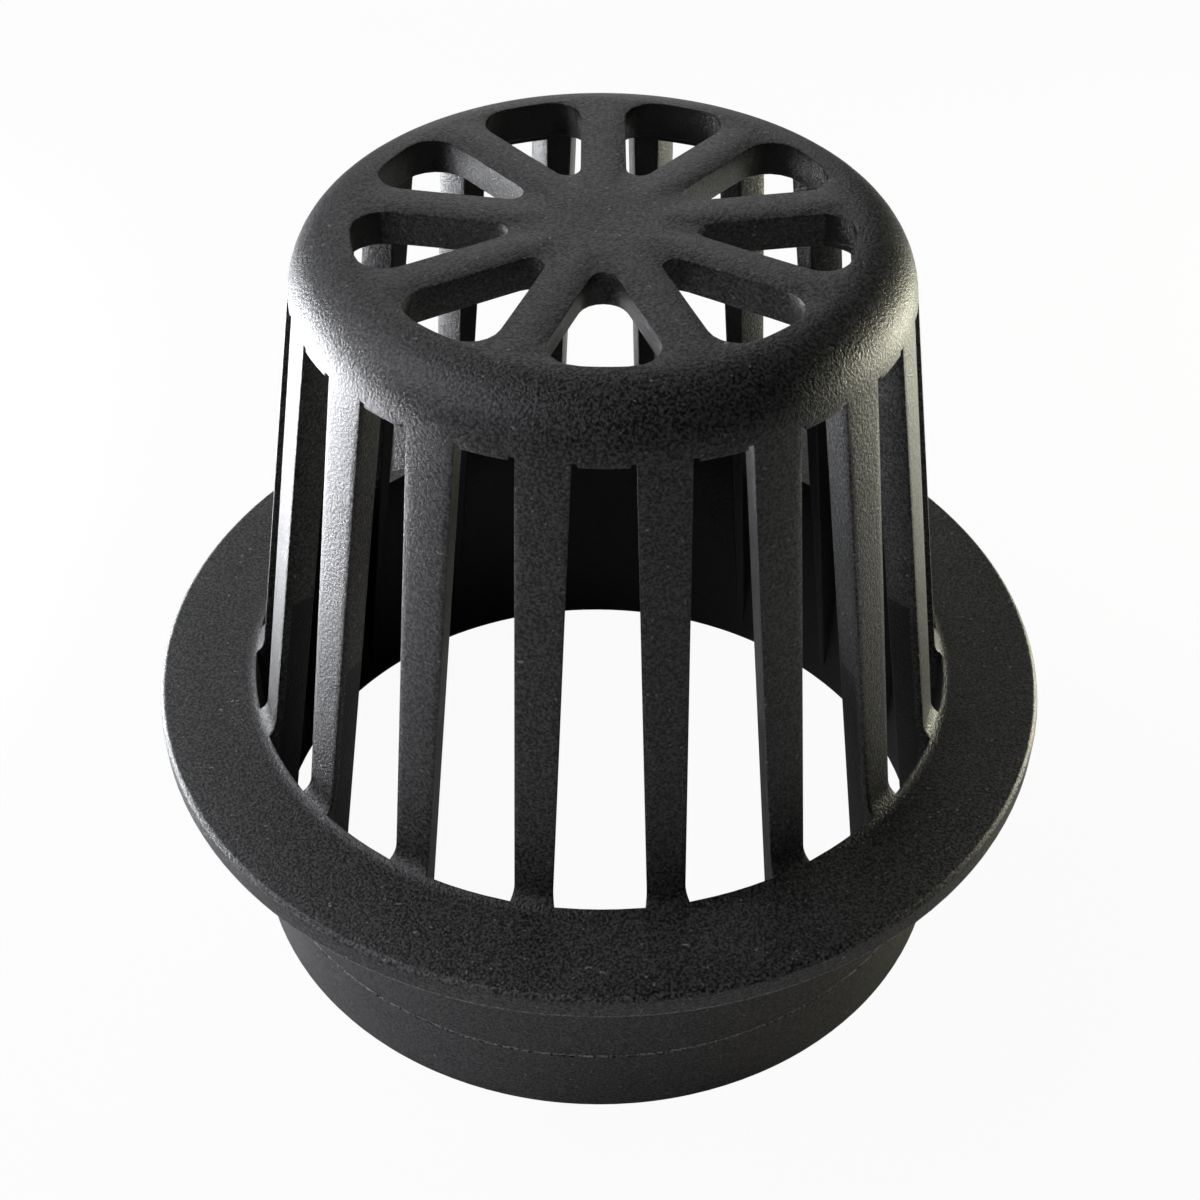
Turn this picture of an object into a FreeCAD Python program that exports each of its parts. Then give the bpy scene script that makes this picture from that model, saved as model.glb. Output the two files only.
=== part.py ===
import FreeCAD, Part

import math
import os
import re

import Sketcher

# Dome grate for an area drain, moulded in one piece.
# Z runs up the axis, the origin is the middle of the spigot's bottom rim,
# and one slot and one window face -Y.

SIZES = {
    # flange and spigot
    "flange_radius": 64.5,
    "flange_thickness": 4.2,
    "flange_edge_bevel": 0.6,
    "spigot_length": 36.1,
    "spigot_rim_radius": 53.5,
    "spigot_draft": 0.3,
    "spigot_wall": 2.5,
    "spigot_rim_bevel": 0.5,
    "bore_draft": 0.57,
    "band_height": 12.0,
    "band_step": 0.2,
    # tapered cage
    "cage_height": 71.8,
    "cage_taper": 9.05,
    "cage_inset": 0.8,
    "bar_depth": 4.6,
    "foot_fillet": 3.0,
    "foot_stop": 1.0,
    "shoulder_radius": 8.1,
    "shoulder_inner_bevel": 1.5,
    # slots between the bars
    "slot_count": 18,
    "slot_rise": 64.2,
    "slot_foot_width": 12.0,
    "slot_draft": 3.78,
    "slot_splay": 10.0,
    # lip that hangs from each slot's top edge
    "lip_drop": 0.9,
    "lip_depth": 1.2,
    "lip_bevel": 0.25,
    "lip_notch": 0.7,
    "lip_setback": 0.1,
    "lip_root": 0.5,
    # crown and its windows
    "crown_thickness": 5.5,
    "window_count": 9,
    "window_margin": 0.3,
    "window_draft": 12.5,
    "window_tip_round": 1.7,
    "window_corner_round": 3.8,
    "spoke_width": 6.0,
    "spoke_draft": 15.5,
    # nib of flash in the slot beside one bar
    "nib_slot_angle": 40.0,
    "nib_width": 1.7,
    "nib_length": 6.5,
    "nib_side_length": 4.9,
    "nib_tip": 0.3,
    "nib_depth": 1.6,
    "nib_setback": 0.2,
    "nib_root": 1.0,
    # room by which a cut runs past what it cuts
    "cut_margin": 2.0,
}

# Lengths that follow from the ones above
DERIVED = {
    "flange_top": "spigot_length + flange_thickness",
    "crown_top": "flange_top + cage_height",
    "crown_under": "crown_top - crown_thickness",
    "slot_top": "flange_top + slot_rise",
    "ledge_radius": "spigot_rim_radius - band_step",
    "spigot_top_radius": "ledge_radius + (spigot_length - band_height) * tan(spigot_draft)",
    "bore_rim_radius": "spigot_rim_radius - spigot_wall",
    "sill_radius": "bore_rim_radius - flange_top * tan(bore_draft)",
    "cage_foot_radius": "sill_radius - cage_inset",
    "cage_head_radius": "cage_foot_radius - cage_height * tan(cage_taper)",
    "cage_slot_radius": "cage_foot_radius - slot_rise * tan(cage_taper)",
    "crown_flat_radius": "cage_head_radius - shoulder_radius * tan((90 - cage_taper) / 2)",
    "foot_fillet_end": "cage_foot_radius + foot_fillet * tan((90 - cage_taper) / 2)",
    "sill_drop": "sqrt(foot_fillet ^ 2 - (foot_fillet_end - sill_radius) ^ 2)",
    "sill_height": "flange_top + foot_fillet - sill_drop",
    "core_head_radius": "cage_head_radius - bar_depth + crown_thickness * tan(cage_taper)",
    "core_foot_radius": "cage_foot_radius - bar_depth + (flange_top - foot_stop) * tan(cage_taper)",
    "blade_core_radius": "core_head_radius - shoulder_inner_bevel - cut_margin",
    "blade_head_radius": "cage_slot_radius + cut_margin",
    "window_reach": "crown_flat_radius - window_margin",
    "window_cut": "crown_thickness + cut_margin",
    "window_cut_base": "crown_top - window_cut",
    "spoke_flank": "window_cut * tan(spoke_draft)",
    "window_flare": "window_cut * tan(window_draft)",
    "slot_head_half": "slot_foot_width / 2 + slot_rise * (tan(cage_taper) * tan(slot_splay) - tan(slot_draft))",
    "lip_spread": "2 * asin((slot_head_half - lip_notch) / cage_slot_radius)",
    "nib_turn": "nib_slot_angle - asin(slot_head_half / cage_slot_radius) / 1 deg",
}

# How near two places have to be to count as one
NEAR = 0.01


def fill_sheet(doc):
    """Writes each size, and each length that follows, as an aliased cell."""
    sheet = doc.addObject("Spreadsheet::Sheet", "Sizes")
    cells = {name: str(value) for name, value in SIZES.items()}
    cells.update({name: "=" + formula for name, formula in DERIVED.items()})
    for row, (name, content) in enumerate(cells.items(), start=1):
        sheet.set(f"A{row}", name)
        sheet.set(f"B{row}", content)
        sheet.setAlias(f"B{row}", name)
    doc.recompute()
    return sheet


def from_sheet(formula):
    """Puts the sheet's name before each size in a formula."""
    return re.sub(r"[a-z]+_[a-z_]+", r"Sizes.\g<0>", formula)


def value(feature, formula):
    return float(feature.evalExpression(from_sheet(formula)))


def drive(feature, prop, formula):
    feature.setExpression(prop, from_sheet(formula))


def origin_feature(body, role):
    return next(item for item in body.Origin.OriginFeatures if item.Role == role)


def add_sketch(body, name, role, height=None):
    """Adds a sketch on one of the body's origin planes, or at a height above it."""
    sketch = body.newObject("Sketcher::SketchObject", name)
    sketch.AttachmentSupport = [(origin_feature(body, role), "")]
    sketch.MapMode = "FlatFace"
    if height is not None:
        drive(sketch, "AttachmentOffset.Base.z", height)
    return sketch


def constrain(sketch, kind, *items, formula=None):
    """Adds a constraint, with its value bound to a formula where it has one."""
    if formula is None:
        sketch.addConstraint(Sketcher.Constraint(kind, *items))
        return
    index = sketch.addConstraint(Sketcher.Constraint(kind, *items, value(sketch, formula)))
    drive(sketch, f"Constraints[{index}]", formula)


def draw_outline(sketch, corners, arc_from=None):
    """Draws a closed outline through corners given as formulas.

    The stretch from corner arc_from is an arc, centred straight above the corner where it ends.
    """
    points = [FreeCAD.Vector(value(sketch, x), value(sketch, y), 0) for x, y in corners]
    for index, start in enumerate(points):
        end = points[(index + 1) % len(points)]
        if index != arc_from:
            sketch.addGeometry(Part.LineSegment(start, end))
            continue
        chord = end - start
        radius = chord.Length ** 2 / (2 * abs(chord.y))
        circle = Part.Circle(end + FreeCAD.Vector(0, radius, 0), FreeCAD.Vector(0, 0, 1), radius)
        sketch.addGeometry(Part.ArcOfCircle(circle, circle.parameter(start), circle.parameter(end)))
    for index, (x, y) in enumerate(corners):
        following = (index + 1) % len(points)
        constrain(sketch, "Coincident", index, 2, following, 1)
        constrain(sketch, "DistanceX", -1, 1, index, 1, formula=x)
        constrain(sketch, "DistanceY", -1, 1, index, 1, formula=y)
    if arc_from is not None:
        constrain(sketch, "Vertical", arc_from, 3, arc_from, 2)


def finish_feature(doc, body, feature):
    """Makes a feature the body's tip and checks that it was built."""
    body.Tip = feature
    doc.recompute()
    if feature.Shape.isNull() or not feature.Shape.isValid():
        raise RuntimeError(f"{feature.Name} gives no valid shape")
    return feature


def revolve(doc, body, name, sketch, spread=None):
    """Turns a section about the axis, all the way round or by half a spread to each side."""
    turn = body.newObject("PartDesign::Revolution", name)
    turn.Profile = sketch
    turn.ReferenceAxis = (origin_feature(body, "Z_Axis"), [""])
    turn.Angle = 360
    if spread is not None:
        turn.Midplane = True
        drive(turn, "Angle", spread)
    return finish_feature(doc, body, turn)


def repeat_round(doc, body, feature, count):
    pattern = body.newObject("PartDesign::PolarPattern", feature.Name + "s")
    pattern.Originals = [feature]
    pattern.Axis = (origin_feature(body, "Z_Axis"), [""])
    pattern.Angle = 360
    drive(pattern, "Occurrences", count)
    finish_feature(doc, body, pattern)


def cut_round(doc, body, name, sketches, count):
    """Cuts the loft between two sketches, and repeats it round the axis."""
    loft = body.newObject("PartDesign::SubtractiveLoft", name)
    loft.Profile = sketches[0]
    loft.Sections = [sketches[1]]
    loft.Ruled = True
    finish_feature(doc, body, loft)
    repeat_round(doc, body, loft, count)


def dress_edges(doc, body, kind, name, edges, size):
    """Rounds or bevels some edges of the body as it stands."""
    base = body.Tip
    dressing = body.newObject("PartDesign::" + kind, name)
    dressing.Base = (base, edges)
    drive(dressing, {"Fillet": "Radius", "Chamfer": "Size"}[kind], size)
    return finish_feature(doc, body, dressing)


def circles_at(feature, places):
    """Names the round edges about the axis that lie at given radii and heights."""
    found = []
    wanted = [(value(feature, radius), value(feature, height)) for radius, height in places]
    for index, edge in enumerate(feature.Shape.Edges, start=1):
        if not isinstance(edge.Curve, Part.Circle):
            continue
        middle = edge.Curve.Center
        for radius, height in wanted:
            gaps = (edge.Curve.Radius - radius, middle.z - height, math.hypot(middle.x, middle.y))
            if max(abs(gap) for gap in gaps) < NEAR:
                found.append(f"Edge{index}")
    return found


def build_cage(doc, body):
    """The closed bell: a drafted wall under a flat crown, with its foot run into the spigot."""
    sketch = add_sketch(body, "cage_section", "XZ_Plane")
    corners = [
        ("0", "crown_top"),
        ("cage_head_radius", "crown_top"),
        (
            "foot_fillet_end - foot_fillet * cos(cage_taper)",
            "flange_top + foot_fillet * (1 - sin(cage_taper))",
        ),
        ("foot_fillet_end", "flange_top"),
        ("foot_fillet_end", "foot_stop"),
        ("core_foot_radius", "foot_stop"),
        ("core_head_radius", "crown_under"),
        ("0", "crown_under"),
    ]
    draw_outline(sketch, corners, arc_from=2)
    cage = revolve(doc, body, "cage", sketch)
    outer = circles_at(cage, [("cage_head_radius", "crown_top")])
    shoulder = dress_edges(doc, body, "Fillet", "shoulder", outer, "shoulder_radius")
    inner = circles_at(shoulder, [("core_head_radius", "crown_under")])
    dress_edges(doc, body, "Chamfer", "shoulder_inside", inner, "shoulder_inner_bevel")


def slot_section(body, name, height, outer, height_formula):
    """One level of the blade that forms a slot: wider inwards, and wider towards the foot."""
    sketch = add_sketch(body, name, "XY_Plane", height)
    half = (
        "slot_foot_width / 2 + (cage_foot_radius - {radius}) * tan(slot_splay)"
        " - ({height} - flange_top) * tan(slot_draft)"
    )
    outside = half.format(radius=outer, height=height_formula)
    inside = half.format(radius="blade_core_radius", height=height_formula)
    corners = [
        (f"-({outside})", f"-{outer}"),
        (outside, f"-{outer}"),
        (inside, "-blade_core_radius"),
        (f"-({inside})", "-blade_core_radius"),
    ]
    draw_outline(sketch, corners)
    return sketch


def cut_slots(doc, body):
    foot = slot_section(body, "slot_foot", None, "flange_radius", "0")
    head = slot_section(body, "slot_head", "slot_top", "blade_head_radius", "slot_top")
    cut_round(doc, body, "slot", [foot, head], "slot_count")


def add_ring(doc, body):
    """The flange, and the spigot with its straight lower band, whose bore ends the slots at the sill."""
    sketch = add_sketch(body, "ring_section", "XZ_Plane")
    corners = [
        ("bore_rim_radius", "0"),
        ("sill_radius", "sill_height"),
        ("foot_fillet_end", "flange_top"),
        ("flange_radius", "flange_top"),
        ("flange_radius", "spigot_length"),
        ("spigot_top_radius", "spigot_length"),
        ("ledge_radius", "band_height"),
        ("spigot_rim_radius", "band_height"),
        ("spigot_rim_radius", "0"),
    ]
    draw_outline(sketch, corners, arc_from=1)
    ring = revolve(doc, body, "ring", sketch)
    places = [("flange_radius", "flange_top"), ("flange_radius", "spigot_length")]
    flange = dress_edges(doc, body, "Chamfer", "flange_edge", circles_at(ring, places), "flange_edge_bevel")
    places = [("spigot_rim_radius", "0"), ("bore_rim_radius", "0")]
    dress_edges(doc, body, "Chamfer", "spigot_rim", circles_at(flange, places), "spigot_rim_bevel")


def window_section(body, name, height, flank, flare):
    """One level of a window: a wedge between two straight spokes, round at its tip and corners."""
    sketch = add_sketch(body, name, "XY_Plane", height)
    half_spoke = f"spoke_width / 2 - {flank}"
    reach = f"window_reach + {flare}"
    tip = f"window_tip_round + {flank}"
    corner = f"window_corner_round + {flare}"
    half_turn = math.radians(value(sketch, "180 / window_count"))
    offset = value(sketch, half_spoke)
    outer = value(sketch, reach)
    tip_radius = value(sketch, tip)
    corner_radius = value(sketch, corner)

    def across(along, aside, side):
        """A point by its distance along a spoke's centre line and its distance aside from it."""
        x = along * math.sin(half_turn) - aside * math.cos(half_turn)
        y = -along * math.cos(half_turn) - aside * math.sin(half_turn)
        return FreeCAD.Vector(side * x, y, 0)

    def arc(centre, radius, start, end):
        circle = Part.Circle(centre, FreeCAD.Vector(0, 0, 1), radius)
        return Part.ArcOfCircle(circle, circle.parameter(start), circle.parameter(end))

    tip_reach = (offset + tip_radius) / math.sin(half_turn)
    tip_along = tip_reach * math.cos(half_turn)
    corner_along = math.sqrt((outer - corner_radius) ** 2 - (offset + corner_radius) ** 2)
    inner_ends = {side: across(tip_along, offset, side) for side in (-1, 1)}
    outer_ends = {side: across(corner_along, offset, side) for side in (-1, 1)}
    centres = {side: across(corner_along, offset + corner_radius, side) for side in (-1, 1)}
    rims = {side: centres[side] * (outer / (outer - corner_radius)) for side in (-1, 1)}
    shapes = [
        Part.LineSegment(inner_ends[-1], outer_ends[-1]),
        arc(centres[-1], corner_radius, outer_ends[-1], rims[-1]),
        arc(FreeCAD.Vector(0, 0, 0), outer, rims[-1], rims[1]),
        arc(centres[1], corner_radius, rims[1], outer_ends[1]),
        Part.LineSegment(outer_ends[1], inner_ends[1]),
        arc(FreeCAD.Vector(0, -tip_reach, 0), tip_radius, inner_ends[1], inner_ends[-1]),
    ]
    for shape in shapes:
        sketch.addGeometry(shape)
    for index in range(len(shapes)):
        constrain(sketch, "Tangent", index, 2, (index + 1) % len(shapes), 1)
    constrain(sketch, "Coincident", 2, 3, -1, 1)
    constrain(sketch, "Radius", 2, formula=reach)
    constrain(sketch, "Radius", 5, formula=tip)
    constrain(sketch, "Radius", 1, formula=corner)
    constrain(sketch, "Radius", 3, formula=corner)
    constrain(sketch, "Distance", -1, 1, 0, formula=half_spoke)
    constrain(sketch, "Distance", -1, 1, 4, formula=half_spoke)
    constrain(sketch, "PointOnObject", 5, 3, -2)
    return sketch


def cut_windows(doc, body):
    top = window_section(body, "window_top", "crown_top", "0", "0")
    base = window_section(body, "window_base", "window_cut_base", "spoke_flank", "window_flare")
    cut_round(doc, body, "window", [top, base], "window_count")


def add_lips(doc, body):
    """The lip along each slot's top edge, which stops short of the slot's corners."""
    sketch = add_sketch(body, "lip_section", "YZ_Plane")
    face = "lip_setback - cage_slot_radius"
    lower_face = face + " - (lip_drop - lip_bevel) * tan(cage_taper)"
    corners = [
        (face + " + lip_root * tan(cage_taper)", "slot_top + lip_root"),
        (lower_face, "slot_top - lip_drop + lip_bevel"),
        (lower_face + " + lip_bevel", "slot_top - lip_drop"),
        (face + " + lip_depth", "slot_top - lip_drop"),
        (face + " + lip_depth", "slot_top + lip_root"),
    ]
    draw_outline(sketch, corners)
    lip = revolve(doc, body, "lip", sketch, spread="lip_spread")
    repeat_round(doc, body, lip, "slot_count")


def nib_section(body, name, drop, end):
    """One level of the nib, square to the bar's edge and sunk a little below the cage's face."""
    height = f"slot_top - {drop}"
    sketch = add_sketch(body, name, "XY_Plane")
    sketch.AttachmentOffset = FreeCAD.Placement(
        FreeCAD.Vector(0, 0, value(sketch, height)),
        FreeCAD.Rotation(FreeCAD.Vector(0, 0, -1), value(sketch, "nib_turn")),
    )
    drive(sketch, "AttachmentOffset.Base.z", height)
    drive(sketch, "AttachmentOffset.Rotation.Angle", "nib_turn")
    face = f"nib_setback - cage_slot_radius - {drop} * tan(cage_taper)"
    corners = [
        ("-nib_width", face),
        (end, face),
        (end, face + " + nib_depth"),
        ("-nib_width", face + " + nib_depth"),
    ]
    draw_outline(sketch, corners)
    return sketch


def add_nib(doc, body):
    """A sliver left by the mould in one slot, against the flank of the bar beside it."""
    sections = [
        nib_section(body, "nib_top", "0", "nib_root"),
        nib_section(body, "nib_side", "nib_side_length", "nib_root"),
        nib_section(body, "nib_end", "nib_length", "nib_tip - nib_width"),
    ]
    nib = body.newObject("PartDesign::AdditiveLoft", "nib")
    nib.Profile = sections[0]
    nib.Sections = sections[1:]
    nib.Ruled = True
    finish_feature(doc, body, nib)


def check_document(doc):
    for item in doc.Objects:
        bad = [state for state in item.State if state in ("Invalid", "Error")]
        if bad:
            raise RuntimeError(f"{item.Name} is {bad}")


def main():
    doc = FreeCAD.newDocument("grate")
    fill_sheet(doc)
    body = doc.addObject("PartDesign::Body", "atrium_grate")
    body.Label = "atrium_grate"
    build_cage(doc, body)
    cut_slots(doc, body)
    add_ring(doc, body)
    cut_windows(doc, body)
    add_lips(doc, body)
    add_nib(doc, body)
    check_document(doc)
    os.makedirs("parts", exist_ok=True)
    body.Shape.exportStep(os.path.join("parts", body.Label + ".step"))


main()
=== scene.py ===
import math

import bmesh
import bpy
from mathutils import Matrix, Vector


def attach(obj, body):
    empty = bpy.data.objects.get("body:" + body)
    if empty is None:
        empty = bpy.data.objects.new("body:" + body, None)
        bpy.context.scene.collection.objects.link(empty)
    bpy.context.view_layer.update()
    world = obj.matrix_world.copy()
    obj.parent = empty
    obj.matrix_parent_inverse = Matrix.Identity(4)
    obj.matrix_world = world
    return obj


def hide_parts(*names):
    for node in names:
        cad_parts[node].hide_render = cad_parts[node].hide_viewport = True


# Dome grate for an area drain, moulded in one piece in black plastic.
# The CAD solid is the frame. A clean mesh of the same form, with its fine edges, stands in for it.

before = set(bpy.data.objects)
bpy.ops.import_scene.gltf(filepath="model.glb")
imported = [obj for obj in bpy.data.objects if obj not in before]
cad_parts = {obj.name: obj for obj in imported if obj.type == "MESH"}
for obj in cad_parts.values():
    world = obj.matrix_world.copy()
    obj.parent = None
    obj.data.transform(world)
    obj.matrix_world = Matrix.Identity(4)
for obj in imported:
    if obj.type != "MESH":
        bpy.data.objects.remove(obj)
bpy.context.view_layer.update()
mm = 0.001

# sizes in millimetres, angles in degrees
grate = {
    "slots": 18,
    "windows": 9,
    "flangeTop": 40.3,
    "flangeRadius": 64.5,
    "flangeThickness": 4.2,
    "flangeBevel": 0.6,
    "spigotRadius": 53.5,
    "spigotBand": 12.0,
    "spigotLedge": 0.1,
    "spigotDraft": 0.3,
    "outsideFrom": 53.0,  # past this radius a point lies on the spigot's outside
    "rimBevel": 0.5,
    "boreRadius": 51.0,
    "boreDraft": 0.57,
    "footRadius": 49.8,
    "taper": 9.05,
    "barDepth": 4.6,
    "rootRound": 3.0,
    "cageHeight": 71.8,
    "shoulderRound": 8.1,
    "innerBevel": 1.5,
    "slotRise": 64.2,
    "slotFootHalf": 6.0,
    "slotSplay": 10.0,
    "slotDraft": 3.78,
    "lipDrop": 0.45,
    "lipDepth": 1.2,
    "lipNotch": 0.6,
    "crownThickness": 5.5,
    "windowReach": 31.15,
    "windowDraft": 12.5,
    "windowCorner": 3.8,
    "windowTip": 1.7,
    "halfSpoke": 3.0,
    "spokeDraft": 15.5,
    "hubRing": 6.0,
    "edgeRound": 0.22,
    "edgeSegments": 2,
    "sharpFrom": 30.0,
    "creaseFrom": 50.0,
    "weld": 0.004,
}

# how finely each curve and wall is divided; the corner's 6 follow from a sector's 12 columns
steps = {
    "slotEdge": 8,
    "shoulder": 12,
    "root": 4,
    "wall": 9,
    "bore": 5,
    "corner": 6,
    "spoke": 8,
    "tip": 8,
}

# how far the plastic is rubbed pale all over, and how strongly highlights are painted along the ledge and
# the flange's edges;
# strip is the painted strips' width and slack the reach below them, in millimetres
wearAndHighlight = {
    "surface": 0.16,
    "ledge": 1.0,
    "flangeBottom": 0.5,
    "flangeTop": 0.28,
    "strip": 0.35,
    "slack": 0.05,
}


def slope(degrees):
    return math.tan(math.radians(degrees))


crownTop = grate["flangeTop"] + grate["cageHeight"]
crownUnder = crownTop - grate["crownThickness"]
slotTop = grate["flangeTop"] + grate["slotRise"]
sectorHalf = math.pi / grate["slots"]
windowHalf = math.pi / grate["windows"]


def cageRadius(z):
    return grate["footRadius"] - (z - grate["flangeTop"]) * slope(grate["taper"])


def coreRadius(z):
    return cageRadius(z) - grate["barDepth"]


def boreRadius(z):
    return grate["boreRadius"] - z * slope(grate["boreDraft"])


def slotHalf(along, z):
    wide = grate["slotFootHalf"] + (grate["footRadius"] - along) * slope(grate["slotSplay"])
    return wide - (z - grate["flangeTop"]) * slope(grate["slotDraft"])


def slotEdgeAngle(r, z):
    # where the slot's flat flank meets a circle of radius r
    along = r
    for again in range(steps["slotEdge"]):
        aside = slotHalf(along, z)
        along = math.sqrt(r * r - aside * aside)
    return math.atan2(aside, along)


def polar(r, angle, z):
    # angle 0 faces -Y, and positive angles turn towards +X
    return Vector((r * math.sin(angle), -r * math.cos(angle), z))


# fractions of the slot's half width and of the half bar beside it, one column of vertices each
lipEnd = 1 - grate["lipNotch"] / slotHalf(cageRadius(slotTop), slotTop)
slotColumns = [-1, -lipEnd, -0.5 * lipEnd, 0, 0.5 * lipEnd, lipEnd, 1]
barColumns = [1 / 3, 2 / 3, 1]


def barAngles(edge):
    # the columns of half a bar, for a slot whose edge is at this angle
    return [edge + (sectorHalf - edge) * part for part in barColumns]


def sectorAngles(edge):
    # all columns of one sector, from bar middle to bar middle
    right = barAngles(edge)
    return [-a for a in reversed(right)] + [edge * part for part in slotColumns] + right


def arcRows(centre, radius, start, end, count):
    # a profile's points on an arc, as (radius from the axis, height)
    rows = []
    for i in range(count + 1):
        a = math.radians(start + (end - start) * i / count)
        rows.append((centre[0] + radius * math.cos(a), centre[1] + radius * math.sin(a)))
    return rows


def mirrored(points):
    # the same points across the sector's middle, in reverse order
    return [Vector((-p.x, p.y, p.z)) for p in reversed(points)]


class patchwork:
    # collects grids of points as quads and triangles; they are welded together later
    def __init__(self):
        self.points = []
        self.faces = []

    def grid(self, rows):
        for upper, lower in zip(rows, rows[1:]):
            for i in range(len(upper) - 1):
                self.face([upper[i], upper[i + 1], lower[i + 1], lower[i]])

    def face(self, corners):
        kept = []
        for point in corners:
            if all((point - other).length > grate["weld"] for other in kept):
                kept.append(point)
        if len(kept) < 3:
            return
        first = len(self.points)
        self.points += kept
        self.faces.append(range(first, first + len(kept)))

    def toObject(self, name):
        mesh = bpy.data.meshes.new(name)
        mesh.from_pydata([p * mm for p in self.points], [], [list(f) for f in self.faces])
        bm = bmesh.new()
        bm.from_mesh(mesh)
        bmesh.ops.remove_doubles(bm, verts=bm.verts, dist=grate["weld"] * mm)
        bm.to_mesh(mesh)
        bm.free()
        piece = bpy.data.objects.new(name, mesh)
        bpy.context.scene.collection.objects.link(piece)
        return piece


def buildCageSector():
    patch = patchwork()
    g = grate
    taper = g["taper"]
    headRadius = cageRadius(crownTop)
    flatRadius = headRadius - g["shoulderRound"] * slope((90 - taper) / 2)
    headEdge = slotEdgeAngle(cageRadius(slotTop), slotTop)

    # shoulder, from the crown's flat top down to the slots
    shoulderCentre = (flatRadius, crownTop - g["shoulderRound"])
    shoulder = arcRows(shoulderCentre, g["shoulderRound"], 90, taper, steps["shoulder"])
    shoulder.append((cageRadius(slotTop), slotTop))
    patch.grid([[polar(r, a, z) for a in sectorAngles(headEdge)] for r, z in shoulder])

    # the bars' outer faces, and the root round down to the sill
    rootEnd = g["footRadius"] + g["rootRound"] * slope((90 - taper) / 2)
    rootCentre = (rootEnd, g["flangeTop"] + g["rootRound"])
    sillRadius = boreRadius(g["flangeTop"])
    sillAngle = math.degrees(math.acos((rootEnd - sillRadius) / g["rootRound"]))
    wallEnd = rootCentre[1] - g["rootRound"] * math.sin(math.radians(taper))
    rise = [i / steps["wall"] for i in range(steps["wall"] + 1)]
    wall = [slotTop + (wallEnd - slotTop) * part for part in rise]
    barRows = [(cageRadius(z), z) for z in wall]
    barRows += arcRows(rootCentre, g["rootRound"], 180 + taper, 180 + sillAngle, steps["root"])[1:]
    sillHeight = barRows[-1][1]
    edges = [slotEdgeAngle(r, z) for r, z in barRows]
    sillEdge = edges[-1]
    for side in (-1, 1):
        rows = []
        for (r, z), edge in zip(barRows, edges):
            rows.append([polar(r, side * a, z) for a in [edge] + barAngles(edge)])
        patch.grid(rows)

    # from the sill over the flange, down the spigot's outside, round its rim and up to the ribs
    under = g["flangeTop"] - g["flangeThickness"]
    ledge = g["spigotRadius"] - g["spigotLedge"]
    # the extra rows bound the painted highlight strips at the flange's bottom edge and above the ledge
    bevel, rim, rubbedAndHighlit = g["flangeBevel"], g["rimBevel"], wearAndHighlight["strip"]
    ribFoot = (coreRadius(0) - g["boreRadius"]) / (slope(taper) - slope(g["boreDraft"]))
    ring = arcRows(rootCentre, g["rootRound"], 180 + sillAngle, 270, steps["root"])
    ring += [
        (rootEnd + (g["flangeRadius"] - bevel - rootEnd) * 0.5, g["flangeTop"]),
        (g["flangeRadius"] - bevel, g["flangeTop"]),
        (g["flangeRadius"], g["flangeTop"] - bevel),
        (g["flangeRadius"], under + bevel + rubbedAndHighlit),
        (g["flangeRadius"], under + bevel),
        (g["flangeRadius"] - bevel, under),
        (ledge + (under - g["spigotBand"]) * slope(g["spigotDraft"]), under),
        (ledge + rubbedAndHighlit * slope(g["spigotDraft"]), g["spigotBand"] + rubbedAndHighlit),
        (ledge, g["spigotBand"]),
        (g["spigotRadius"], g["spigotBand"]),
        (g["spigotRadius"], rim),
        (g["spigotRadius"] - rim, 0),
        (g["boreRadius"] + rim, 0),
        (boreRadius(rim), rim),
    ]
    patch.grid([[polar(r, a, z) for a in sectorAngles(sillEdge)] for r, z in ring])
    footEdge = slotEdgeAngle(boreRadius(ribFoot), ribFoot)
    patch.grid([
        [polar(boreRadius(rim), a, rim) for a in sectorAngles(sillEdge)],
        [polar(boreRadius(ribFoot), a, ribFoot) for a in sectorAngles(footEdge)],
    ])

    # the bore between the ribs, up to the sill
    boreRows = [ribFoot + (sillHeight - ribFoot) * i / steps["bore"] for i in range(steps["bore"] + 1)]
    rows = []
    for z in boreRows:
        edge = slotEdgeAngle(boreRadius(z), z) if z < sillHeight else sillEdge
        r = boreRadius(z) if z < sillHeight else barRows[-1][0]
        rows.append([polar(r, edge * part, z) for part in slotColumns])
    patch.grid(rows)

    # inner faces of the bars and ribs, and the flanks between the inner and the outer edges
    outerChain = [(r, z, edge) for (r, z), edge in zip(barRows, edges)]
    for z in reversed(boreRows[:-1]):
        outerChain.append((boreRadius(z), z, slotEdgeAngle(boreRadius(z), z)))
    innerChain = [(coreRadius(z), z, slotEdgeAngle(coreRadius(z), z)) for r, z, edge in outerChain]
    innerChain[-1] = outerChain[-1]
    share = g["lipDepth"] / (cageRadius(slotTop) - coreRadius(slotTop))
    for side in (-1, 1):
        faceRows, flankRows = [], []
        for outer, inner in zip(outerChain, innerChain):
            r, z, edge = inner
            faceRows.append([polar(r, side * a, z) for a in [edge] + barAngles(edge)])
            ends = polar(outer[0], side * outer[2], outer[1]), polar(r, side * edge, z)
            flankRows.append([ends[0], ends[0].lerp(ends[1], share), ends[1]])
        patch.grid(faceRows)
        patch.grid(flankRows)

    # the ring above the slots, inside, up to the crown's underside
    core = coreRadius(slotTop)
    coreEdge = slotEdgeAngle(core, slotTop)
    innerHead = cageRadius(crownTop) - g["barDepth"] + g["crownThickness"] * slope(taper)
    inner = [
        (core, slotTop),
        (innerHead + g["innerBevel"] * slope(taper), crownUnder - g["innerBevel"]),
        (innerHead - g["innerBevel"], crownUnder),
    ]
    patch.grid([[polar(r, a, z) for a in sectorAngles(coreEdge)] for r, z in inner])

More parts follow.
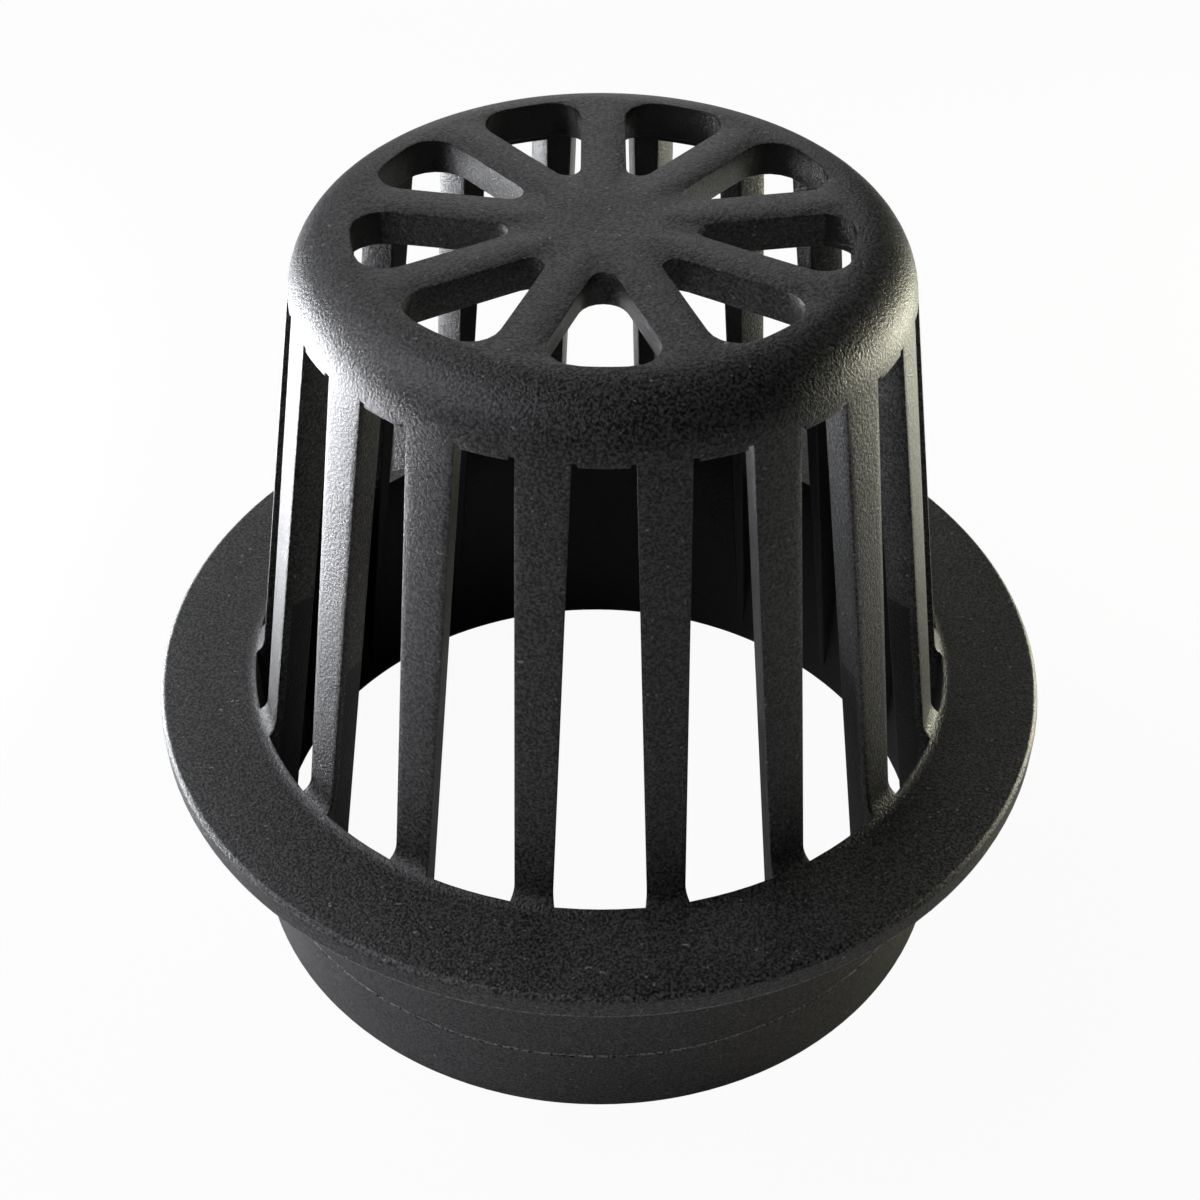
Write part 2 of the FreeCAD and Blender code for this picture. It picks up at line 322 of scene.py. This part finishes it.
    # the slot's top face, with the lip that hangs from its outer edge between two notches
    outerTop = [polar(cageRadius(slotTop), headEdge * part, slotTop) for part in slotColumns]
    innerTop = [polar(core, coreEdge * part, slotTop) for part in slotColumns]
    behind = [a.lerp(b, share) for a, b in zip(outerTop, innerTop)]
    patch.grid([behind, innerTop])
    patch.grid([outerTop[:2], behind[:2]])
    patch.grid([outerTop[-2:], behind[-2:]])
    lipFoot = slotTop - g["lipDrop"]
    lipOuter = [polar(cageRadius(lipFoot), headEdge * part, lipFoot) for part in slotColumns[1:-1]]
    lipInner = [point - Vector((0, 0, g["lipDrop"])) for point in behind[1:-1]]
    patch.grid([outerTop[1:-1], lipOuter, lipInner, behind[1:-1]])
    patch.face([outerTop[1], lipOuter[0], lipInner[0], behind[1]])
    patch.face([outerTop[-2], lipOuter[-1], lipInner[-1], behind[-2]])
    rings = {
        "top": (flatRadius, headEdge),
        "under": (innerHead - g["innerBevel"], coreEdge),
    }
    return patch.toObject("cageSector"), rings


def windowOutline(depth):
    # the window's edge at a depth below the crown's top: outer side, spoke side, tip, spoke side
    g = grate
    flank = depth * slope(g["spokeDraft"])
    flare = depth * slope(g["windowDraft"])
    offset = g["halfSpoke"] - flank
    reach = g["windowReach"] + flare
    tip = g["windowTip"] + flank
    corner = g["windowCorner"] + flare
    z = crownTop - depth
    bends, parts, turns = steps["corner"], steps["spoke"], steps["tip"]

    def beside(along, aside):
        # a point along the right spoke's middle line and to the window's side of it
        x = along * math.sin(windowHalf) - aside * math.cos(windowHalf)
        y = -along * math.cos(windowHalf) - aside * math.sin(windowHalf)
        return Vector((x, y, z))

    tipReach = (offset + tip) / math.sin(windowHalf)
    tipAlong = tipReach * math.cos(windowHalf)
    cornerAlong = math.sqrt((reach - corner) ** 2 - (offset + corner) ** 2)
    centre = beside(cornerAlong, offset + corner)
    centreAngle = math.atan2(centre.x, -centre.y)
    sideAngle = windowHalf + math.pi / 2
    right = []
    for i in range(bends + 1):
        a = centreAngle + (sideAngle - centreAngle) * i / bends
        right.append(Vector((centre.x + corner * math.sin(a), centre.y - corner * math.cos(a), z)))
    rim = [polar(reach, centreAngle * (i / bends - 1), z) for i in range(1, 2 * bends)]
    outer = mirrored(right) + rim + right
    spoke = [right[-1].lerp(beside(tipAlong, offset), i / parts) for i in range(1, parts + 1)]
    tipArc = []
    for i in range(1, turns):
        a = sideAngle + (2 * math.pi - 2 * sideAngle) * i / turns
        tipArc.append(Vector((tip * math.sin(a), -tipReach - tip * math.cos(a), z)))
    return outer + spoke + tipArc + mirrored(spoke) + [outer[0]]


def buildCrownSector(rings):
    patch = patchwork()
    g = grate
    full = 2 * sectorHalf
    parts, turns = steps["spoke"], steps["tip"]

    def hubArc(radius, z):
        return [polar(radius, full * (1 - 2 * i / turns), z) for i in range(turns + 1)]

    def border(ringRadius, edge, z):
        # the sector's border, matched point for point with the window's outline
        middle = sectorAngles(edge)
        left = [a - full for a in middle if a >= 0]
        right = [a + full for a in middle if a <= 0]
        angles = left[:-1] + middle + right[1:]
        outer = [polar(ringRadius, a, z) for a in angles]
        inward = g["hubRing"] - ringRadius
        spoke = [polar(ringRadius + inward * i / parts, full, z) for i in range(1, parts + 1)]
        return outer + spoke + hubArc(g["hubRing"], z)[1:-1] + mirrored(spoke) + [outer[0]]

    topEdge = windowOutline(0)
    underEdge = windowOutline(g["crownThickness"])
    for (ringRadius, edge), outline, z in (
        (rings["top"], topEdge, crownTop),
        (rings["under"], underEdge, crownUnder),
    ):
        patch.grid([border(ringRadius, edge, z), outline])
        hub = hubArc(g["hubRing"], z)
        patch.grid([hub, hubArc(g["hubRing"] / 2, z), [Vector((0, 0, z))] * len(hub)])
    depths = [0, g["crownThickness"] / 2, g["crownThickness"]]
    patch.grid([windowOutline(depth) for depth in depths])
    return patch.toObject("crownSector")


def repeatTree():
    # repeats a sector round the axis, welds the seams and sets the material
    tree = bpy.data.node_groups.new("repeatRound", "GeometryNodeTree")
    sockets = {}
    for name, kind in (
        ("Sector", "NodeSocketGeometry"),
        ("Count", "NodeSocketInt"),
        ("Weld", "NodeSocketFloat"),
        ("Finish", "NodeSocketMaterial"),
    ):
        sockets[name] = tree.interface.new_socket(name, in_out="INPUT", socket_type=kind).identifier
    tree.interface.new_socket("Ring", in_out="OUTPUT", socket_type="NodeSocketGeometry")

    def node(kind, **settings):
        made = tree.nodes.new(kind)
        for key, setting in settings.items():
            setattr(made, key, setting)
        return made

    source = node("NodeGroupInput")
    points = node("GeometryNodePoints")
    index = node("GeometryNodeInputIndex")
    turn = node("ShaderNodeMath", operation="DIVIDE")
    angle = node("ShaderNodeMath", operation="MULTIPLY")
    angle.inputs[1].default_value = 2 * math.pi
    euler = node("ShaderNodeCombineXYZ")
    place = node("GeometryNodeInstanceOnPoints")
    realize = node("GeometryNodeRealizeInstances")
    merge = node("GeometryNodeMergeByDistance")
    finish = node("GeometryNodeSetMaterial")
    out = node("NodeGroupOutput")
    link = tree.links.new
    link(source.outputs["Count"], points.inputs["Count"])
    link(index.outputs[0], turn.inputs[0])
    link(source.outputs["Count"], turn.inputs[1])
    link(turn.outputs[0], angle.inputs[0])
    link(angle.outputs[0], euler.inputs["Z"])
    link(points.outputs[0], place.inputs["Points"])
    link(source.outputs["Sector"], place.inputs["Instance"])
    link(euler.outputs[0], place.inputs["Rotation"])
    link(place.outputs[0], realize.inputs[0])
    link(realize.outputs[0], merge.inputs["Geometry"])
    link(source.outputs["Weld"], merge.inputs["Distance"])
    link(merge.outputs[0], finish.inputs["Geometry"])
    link(source.outputs["Finish"], finish.inputs["Material"])
    link(finish.outputs[0], out.inputs[0])
    return tree, sockets


def plainMesh(piece):
    # the evaluated mesh, with every modifier applied
    bpy.context.view_layer.update()
    graph = bpy.context.evaluated_depsgraph_get()
    return bpy.data.meshes.new_from_object(piece.evaluated_get(graph))


def repeatRound(sector, tree, sockets, count, finish):
    around = sector.modifiers.new("around", "NODES")
    around.node_group = tree
    around[sockets["Count"]] = count
    around[sockets["Weld"]] = grate["weld"] * mm
    around[sockets["Finish"]] = finish
    ring = plainMesh(sector)
    bpy.data.objects.remove(sector)
    return ring


# the sliver of flash beside one bar, in millimetres and degrees
nib = {
    "slotAngle": 40.0,
    "width": 1.7,
    "root": 1.0,
    "sideLength": 4.9,
    "length": 6.5,
    "tip": 0.3,
    "depth": 1.6,
    "setback": 0.2,
}


def buildNib():
    bm = bmesh.new()
    turn = math.radians(nib["slotAngle"]) - slotEdgeAngle(cageRadius(slotTop), slotTop)
    spin = Matrix.Rotation(-turn, 3, "Z")
    start = -nib["width"]
    levels = [
        (0, nib["root"]),
        (nib["sideLength"], nib["root"]),
        (nib["length"], nib["tip"] - nib["width"]),
    ]
    rows = []
    for drop, end in levels:
        face = nib["setback"] - cageRadius(slotTop - drop)
        back = face + nib["depth"]
        corners = [(start, face), (end, face), (end, back), (start, back)]
        rows.append([bm.verts.new(spin @ Vector((x, y, slotTop - drop)) * mm) for x, y in corners])
    for upper, lower in zip(rows, rows[1:]):
        for i in range(4):
            bm.faces.new([upper[i], upper[(i + 1) % 4], lower[(i + 1) % 4], lower[i]])
    bm.faces.new(rows[0])
    bm.faces.new(rows[-1])
    bmesh.ops.recalc_face_normals(bm, faces=bm.faces)
    mesh = bpy.data.meshes.new("nib")
    bm.to_mesh(mesh)
    bm.free()
    return mesh


def joinRings(cage, crown):
    # one closed mesh of both, with its faces turned outwards
    bm = bmesh.new()
    bm.from_mesh(cage)
    bm.from_mesh(crown)
    bmesh.ops.remove_doubles(bm, verts=bm.verts, dist=grate["weld"] * mm)
    openEdges = sum(1 for edge in bm.edges if len(edge.link_faces) != 2)
    print("grate: edges that don't join two faces", openEdges)
    bmesh.ops.recalc_face_normals(bm, faces=bm.faces)
    if bm.calc_volume(signed=True) < 0:
        bmesh.ops.reverse_faces(bm, faces=bm.faces)
    return bm


# in millimetres, where the ledge's edges and the ribs' lower ends lie, which stay unrounded
unrounded = {
    "ledgeReach": 1.0,
    "ribFrom": 1.0,
    "ribTo": 9.0,
    "ribRadius": 51.2,
}


def weightEdges(bm):
    # marks the convex edges that the bevel rounds
    weight = bm.edges.layers.float.new("bevel_weight_edge")
    sharp = math.radians(grate["sharpFrom"])
    for edge in bm.edges:
        if len(edge.link_faces) != 2:
            continue
        middle = (edge.verts[0].co + edge.verts[1].co) / (2 * mm)
        radius = math.hypot(middle.x, middle.y)
        nearLedge = abs(middle.z - grate["spigotBand"]) < unrounded["ledgeReach"]
        nearRib = unrounded["ribFrom"] < middle.z < unrounded["ribTo"]
        onLedge = nearLedge and radius > grate["outsideFrom"]
        onRib = nearRib and radius < unrounded["ribRadius"]
        if edge.is_convex and edge.calc_face_angle() > sharp and not onLedge and not onRib:
            edge[weight] = 1


def roundEdges(body):
    bevel = body.modifiers.new("edges", "BEVEL")
    bevel.limit_method = "WEIGHT"
    bevel.width = grate["edgeRound"] * mm
    bevel.segments = grate["edgeSegments"]
    bevel.use_clamp_overlap = False
    rounded = plainMesh(body)
    body.modifiers.clear()
    return rounded


def faceWearAndHighlight(face):
    x, y, z = face.center / mm
    radius = math.hypot(x, y)
    # a painted highlight along the spigot's ledge
    if radius > grate["outsideFrom"] and -wearAndHighlight["slack"] < z - grate["spigotBand"] < wearAndHighlight["strip"]:
        return wearAndHighlight["ledge"]
    # painted highlights along the flange's bottom and top edges
    if radius > grate["flangeRadius"] - grate["flangeBevel"]:
        if z < grate["flangeTop"] - grate["flangeThickness"] + grate["flangeBevel"] + wearAndHighlight["strip"]:
            return wearAndHighlight["flangeBottom"]
        if z > grate["flangeTop"] - grate["flangeBevel"]:
            return wearAndHighlight["flangeTop"]
    return wearAndHighlight["surface"]


# a face counts as inside, and gets painted shade, when its normal's outward or upward share is below these
inwardFrom = {
    "outward": -0.3,
    "upward": -0.5,
}


def isInside(face):
    outward = Vector((face.center.x, face.center.y, 0)).normalized()
    turnedIn = face.normal.dot(outward) < inwardFrom["outward"]
    return 1.0 if turnedIn or face.normal.z < inwardFrom["upward"] else 0.0


def markFaces(mesh, nibFrom):
    # what the material reads: the rubbed pale grain and the painted highlights of a face, which the nib
    # hasn't, and whether it is inside, where shade is painted
    wornAndHighlit = [faceWearAndHighlight(face) if face.index < nibFrom else 0 for face in mesh.polygons]
    print("grate: rubbed faces", sum(1 for share in wornAndHighlit if share))
    inside = [isInside(face) for face in mesh.polygons]
    mesh.attributes.new("wornAndHighlit", "FLOAT", "FACE").data.foreach_set("value", wornAndHighlit)
    mesh.attributes.new("inside", "FLOAT", "FACE").data.foreach_set("value", inside)


def buildGrate(finish):
    tree, sockets = repeatTree()
    cageSector, rings = buildCageSector()
    crownSector = buildCrownSector(rings)
    cage = repeatRound(cageSector, tree, sockets, grate["slots"], finish)
    crown = repeatRound(crownSector, tree, sockets, grate["windows"], finish)
    bm = joinRings(cage, crown)
    weightEdges(bm)
    mesh = bpy.data.meshes.new("grate")
    bm.to_mesh(mesh)
    bm.free()
    body = bpy.data.objects.new("grateBody", mesh)
    bpy.context.scene.collection.objects.link(body)
    rounded = roundEdges(body)
    nibFrom = len(rounded.polygons)
    bm = bmesh.new()
    bm.from_mesh(rounded)
    volume = bm.calc_volume(signed=True)
    bm.from_mesh(buildNib())
    bm.to_mesh(rounded)
    bm.free()
    body.data = rounded
    rounded.name = "grate"
    markFaces(rounded, nibFrom)
    rounded.materials.append(finish)
    for face in rounded.polygons:
        face.material_index = 0
        face.use_smooth = True
    rounded.set_sharp_from_angle(angle=math.radians(grate["creaseFrom"]))
    print("grate: faces", len(rounded.polygons), "volume in cm3", round(volume * 1e6, 2))
    return body


# black plastic with the fine sandy grain of its mould and a few pale flecks, with painted highlights along
# the ledge and the flange's edges, and painted shade on the faces turned inside
plastic = {
    "base": (0.001, 0.001, 0.001),
    "pale": (0.008, 0.008, 0.0082),
    "toneStops": (0.44, 0.66),
    "grainPerMetre": 2600,
    "grainDetail": 3,
    "grainRoughness": 0.6,
    "grainHeight": 0.00014,
    "bumpStrength": 1.0,
    "fleck": (0.22, 0.22, 0.22),
    "fleckPerMetre": 1300,
    "fleckDetail": 2,
    "fleckStops": (0.70, 0.76),
    # the pale of the rubbed grain, and of the painted highlights along the ledge and the flange's edges
    "rubbedAndHighlit": (0.45, 0.45, 0.45),
    "rubAndHighlightStops": (0.40, 0.60),
    # the darkest tone, painted as shade on the faces turned inside
    "inside": (0.001, 0.001, 0.001),
    "smoothest": 0.30,
    "roughest": 0.42,
    "sheenPerMetre": 60,
    "sheenDetail": 3,
    "sheenStops": (0.3, 0.7),
    "ior": 1.5,
}


def makePlastic():
    material = bpy.data.materials.new("sandyMouldedPlastic")
    material.use_nodes = True
    nodes, links = material.node_tree.nodes, material.node_tree.links
    shader = nodes["Principled BSDF"]
    place = nodes.new("ShaderNodeTexCoord")

    def noise(scale, detail, roughness=0.5):
        made = nodes.new("ShaderNodeTexNoise")
        made.inputs["Scale"].default_value = scale
        made.inputs["Detail"].default_value = detail
        made.inputs["Roughness"].default_value = roughness
        links.new(place.outputs["Object"], made.inputs["Vector"])
        return made.outputs["Fac"]

    def ramp(source, stops, first=(0, 0, 0), last=(1, 1, 1)):
        made = nodes.new("ShaderNodeValToRGB")
        for element, position, colour in zip(made.color_ramp.elements, stops, (first, last)):
            element.position = position
            element.color = (*colour, 1)
        links.new(source, made.inputs[0])
        return made.outputs[0]

    def attribute(name):
        made = nodes.new("ShaderNodeAttribute")
        made.attribute_name = name
        return made.outputs["Fac"]

    def mixed(share, first, second):
        # in a colour mix the two colours are inputs 6 and 7, and the result is output 2
        made = nodes.new("ShaderNodeMix")
        made.data_type = "RGBA"
        links.new(share, made.inputs[0])
        links.new(first, made.inputs[6])
        made.inputs[7].default_value = (*second, 1)
        return made.outputs[2]

    grain = noise(plastic["grainPerMetre"], plastic["grainDetail"], plastic["grainRoughness"])
    fleck = noise(plastic["fleckPerMetre"], plastic["fleckDetail"])
    cloud = noise(plastic["sheenPerMetre"], plastic["sheenDetail"])
    tone = ramp(grain, plastic["toneStops"], plastic["base"], plastic["pale"])
    rubAndHighlight = nodes.new("ShaderNodeMath")
    rubAndHighlight.operation = "MULTIPLY"
    links.new(ramp(grain, plastic["rubAndHighlightStops"]), rubAndHighlight.inputs[0])
    links.new(attribute("wornAndHighlit"), rubAndHighlight.inputs[1])
    flecked = mixed(ramp(fleck, plastic["fleckStops"]), tone, plastic["fleck"])
    # pale rubbed grain all over, plus the painted highlights along the ledge and the flange's edges
    rubbedAndHighlit = mixed(rubAndHighlight.outputs[0], flecked, plastic["rubbedAndHighlit"])
    # faces turned inside take the painted shade colour in place of grain, flecks and highlights
    links.new(mixed(attribute("inside"), rubbedAndHighlit, plastic["inside"]), shader.inputs["Base Color"])
    smooth, rough = (plastic["smoothest"],) * 3, (plastic["roughest"],) * 3
    links.new(ramp(cloud, plastic["sheenStops"], smooth, rough), shader.inputs["Roughness"])
    bump = nodes.new("ShaderNodeBump")
    bump.inputs["Strength"].default_value = plastic["bumpStrength"]
    bump.inputs["Distance"].default_value = plastic["grainHeight"]
    links.new(grain, bump.inputs["Height"])
    links.new(bump.outputs[0], shader.inputs["Normal"])
    shader.inputs["IOR"].default_value = plastic["ior"]
    return material


# sizes in metres; a glow or background of 1 is white to the camera
studio = {
    "floorSize": 6.0,
    "floorTone": 0.85,
    "floorGlow": 0.95,
    "ambient": 0.02,
    "background": 1.0,
}


def makeFloor():
    size = studio["floorSize"] / 2
    mesh = bpy.data.meshes.new("floor")
    corners = [(-size, -size, 0), (size, -size, 0), (size, size, 0), (-size, size, 0)]
    mesh.from_pydata(corners, [], [(0, 1, 2, 3)])
    floor = bpy.data.objects.new("floor", mesh)
    bpy.context.scene.collection.objects.link(floor)
    material = bpy.data.materials.new("paleFloor")
    material.use_nodes = True
    nodes, links = material.node_tree.nodes, material.node_tree.links
    nodes.clear()
    out = nodes.new("ShaderNodeOutputMaterial")
    matt = nodes.new("ShaderNodeBsdfDiffuse")
    matt.inputs[0].default_value = (studio["floorTone"],) * 3 + (1,)
    glow = nodes.new("ShaderNodeEmission")
    path = nodes.new("ShaderNodeLightPath")
    share = nodes.new("ShaderNodeMath")
    share.operation = "MULTIPLY"
    share.inputs[1].default_value = studio["floorGlow"]
    mix = nodes.new("ShaderNodeMixShader")
    links.new(path.outputs["Is Camera Ray"], share.inputs[0])
    links.new(share.outputs[0], mix.inputs[0])
    links.new(matt.outputs[0], mix.inputs[1])
    links.new(glow.outputs[0], mix.inputs[2])
    links.new(mix.outputs[0], out.inputs[0])
    mesh.materials.append(material)


def makeWorld():
    world = bpy.data.worlds.new("studioWorld")
    bpy.context.scene.world = world
    world.use_nodes = True
    nodes, links = world.node_tree.nodes, world.node_tree.links
    nodes.clear()
    out = nodes.new("ShaderNodeOutputWorld")
    ambient = nodes.new("ShaderNodeBackground")
    ambient.inputs["Strength"].default_value = studio["ambient"]
    white = nodes.new("ShaderNodeBackground")
    white.inputs["Strength"].default_value = studio["background"]
    for shade in (ambient, white):
        shade.inputs["Color"].default_value = (1, 1, 1, 1)
    path = nodes.new("ShaderNodeLightPath")
    mix = nodes.new("ShaderNodeMixShader")
    links.new(path.outputs["Is Camera Ray"], mix.inputs[0])
    links.new(ambient.outputs[0], mix.inputs[1])
    links.new(white.outputs[0], mix.inputs[2])
    links.new(mix.outputs[0], out.inputs[0])


# what the lamps point at, in metres
aims = {
    "grate": (0, 0, 0.06),
    "leftFloor": (-0.27, 0.06, 0),
}

# soft boxes in metres, watts and degrees: bluish and strongest on the left, yellowish on the right,
# and one with a narrow spread that lights the floor on the left
lamps = {
    "leftHigh": {
        "at": (-0.65, 0, 0.65), "to": "grate", "size": 0.5, "power": 2.8, "tint": (0.96, 0.95, 1.0),
    },
    "leftFront": {
        "at": (-0.55, -0.50, 0.55), "to": "grate", "size": 0.5, "power": 1.1, "tint": (0.98, 0.94, 1.0),
    },
    "leftBack": {
        "at": (-0.50, 0.60, 0.60), "to": "grate", "size": 0.5, "power": 0.9, "tint": (0.95, 0.97, 1.0),
    },
    "leftLow": {
        "at": (-0.30, 0.14, 0.05), "to": "grate", "size": 0.1, "power": 0.85, "tint": (0.95, 0.97, 1.0),
    },
    "backHigh": {
        "at": (0, 0.75, 0.60), "to": "grate", "size": 0.5, "power": 0.5, "tint": (1.0, 1.0, 0.97),
    },
    "backLow": {
        "at": (0, 0.95, 0.25), "to": "grate", "size": 0.5, "power": 0.5, "tint": (1.0, 1.0, 1.0),
    },
    "rightLow": {
        "at": (0.30, 0.14, 0.05), "to": "grate", "size": 0.1, "power": 0.8, "tint": (1.0, 0.98, 0.76),
    },
    "floorLeft": {
        "at": (-0.27, 0.06, 0.30), "to": "leftFloor", "size": 0.12, "power": 3.0, "tint": (0.94, 0.95, 1.0),
        "spread": 46,
    },
}


def makeLamps():
    for name, lamp in lamps.items():
        light = bpy.data.lights.new(name, "AREA")
        light.shape = "SQUARE"
        light.size = lamp["size"]
        light.energy = lamp["power"]
        light.color = lamp["tint"]
        if "spread" in lamp:
            light.spread = math.radians(lamp["spread"])
        towards = Vector(aims[lamp["to"]]) - Vector(lamp["at"])
        holder = bpy.data.objects.new(name, light)
        holder.location = lamp["at"]
        holder.rotation_euler = towards.to_track_quat("-Z", "Y").to_euler()
        bpy.context.scene.collection.objects.link(holder)


# the photo's view: lens and sensor in millimetres, distances in metres, angles in degrees
camera = {
    "lens": 56.99,
    "sensor": 36.0,
    "elevation": 42.05,
    "distance": 0.2773,
    "aimHeight": 0.04885,
    "roll": 0.56,
    "turn": -0.43,
    "clipStart": 0.01,
    "clipEnd": 20,
}


def makeCamera():
    data = bpy.data.cameras.new("photoCamera")
    data.lens = camera["lens"]
    data.sensor_width = camera["sensor"]
    data.clip_start = camera["clipStart"]
    data.clip_end = camera["clipEnd"]
    holder = bpy.data.objects.new("photoCamera", data)
    bpy.context.scene.collection.objects.link(holder)
    elevation = math.radians(camera["elevation"])
    forward = Vector((0, math.cos(elevation), -math.sin(elevation)))
    aim = Vector((0, 0, camera["aimHeight"]))
    right = Vector((1, 0, 0))
    up = right.cross(forward)
    roll = math.radians(camera["roll"])
    across = right * math.cos(roll) + up * math.sin(roll)
    upward = up * math.cos(roll) - right * math.sin(roll)
    basis = Matrix((across, upward, -forward)).transposed().to_4x4()
    place = Matrix.Translation(aim - forward * camera["distance"]) @ basis
    holder.matrix_world = Matrix.Rotation(math.radians(camera["turn"]), 4, "Z") @ place
    bpy.context.scene.camera = holder


bpy.context.scene.view_settings.view_transform = "Standard"
plasticFinish = makePlastic()
print("building the grate")
grateBody = buildGrate(plasticFinish)
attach(grateBody, "root")
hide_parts("atrium_grate")
print("lighting the studio")
makeFloor()
makeWorld()
makeLamps()
makeCamera()
